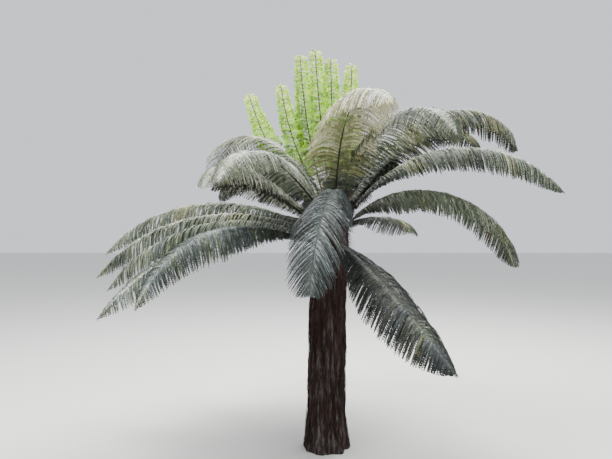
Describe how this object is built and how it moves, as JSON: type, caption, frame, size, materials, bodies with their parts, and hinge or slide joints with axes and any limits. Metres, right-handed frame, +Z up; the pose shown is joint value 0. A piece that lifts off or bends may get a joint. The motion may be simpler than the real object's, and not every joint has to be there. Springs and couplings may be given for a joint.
{
  "type": "tree fern",
  "caption": "Tree fern with a leaning fibrous trunk, a wide crown of arching feathery fronds that droop towards their tips, and young fronds standing upright in the middle.",
  "frame": {"origin": "middle of the flat cut under the trunk, at ground level", "axes": "+Z up, -Y towards the front from which the plant is seen, +X to the right"},
  "size_m": [3.6929, 3.6812, 3.3872],
  "materials": {
    "trunk": "rough",
    "frond": "matte",
    "young_frond": "matte"
  },
  "bodies": {
    "root": {"trunk": "trunk", "frond_back_base": "frond", "frond_back_left_base": "frond", "frond_back_left_low_base": "frond", "frond_back_left_low_tip": "frond", "frond_back_left_tip": "frond", "frond_back_low_base": "frond", "frond_back_low_tip": "frond", "frond_back_mid_left_base": "frond", "frond_back_mid_left_tip": "frond", "frond_back_mid_right_base": "frond", "frond_back_mid_right_tip": "frond", "frond_back_right_base": "frond", "frond_back_right_low_base": "frond", "frond_back_right_low_tip": "frond", "frond_back_right_tip": "frond", "frond_back_tip": "frond", "frond_front_base": "frond", "frond_front_high_base": "frond", "frond_front_high_tip": "frond", "frond_front_right_low_base": "frond", "frond_front_right_low_tip": "frond", "frond_front_tip": "frond", "frond_left_back_low_base": "frond", "frond_left_back_low_tip": "frond", "frond_left_front_high_base": "frond", "frond_left_front_high_tip": "frond", "frond_left_front_long_base": "frond", "frond_left_front_long_tip": "frond", "frond_left_front_low_base": "frond", "frond_left_front_low_tip": "frond", "frond_left_front_mid_base": "frond", "frond_left_front_mid_tip": "frond", "frond_left_high_base": "frond", "frond_left_high_tip": "frond", "frond_left_inner_base": "frond", "frond_left_inner_tip": "frond", "frond_left_long_base": "frond", "frond_left_long_tip": "frond", "frond_left_low_base": "frond", "frond_left_low_tip": "frond", "frond_left_mid_base": "frond", "frond_left_mid_tip": "frond", "frond_right_back_high_base": "frond", "frond_right_back_high_tip": "frond", "frond_right_back_mid_base": "frond", "frond_right_back_mid_tip": "frond", "frond_right_high_base": "frond", "frond_right_high_tip": "frond", "frond_right_long_base": "frond", "frond_right_long_tip": "frond", "frond_right_low_base": "frond", "frond_right_low_tip": "frond", "young_far_left": "young_frond", "young_left": "young_frond", "young_mid_left": "young_frond", "young_mid_right": "young_frond", "young_middle": "young_frond", "young_right": "young_frond"}
  },
  "joints": []
}
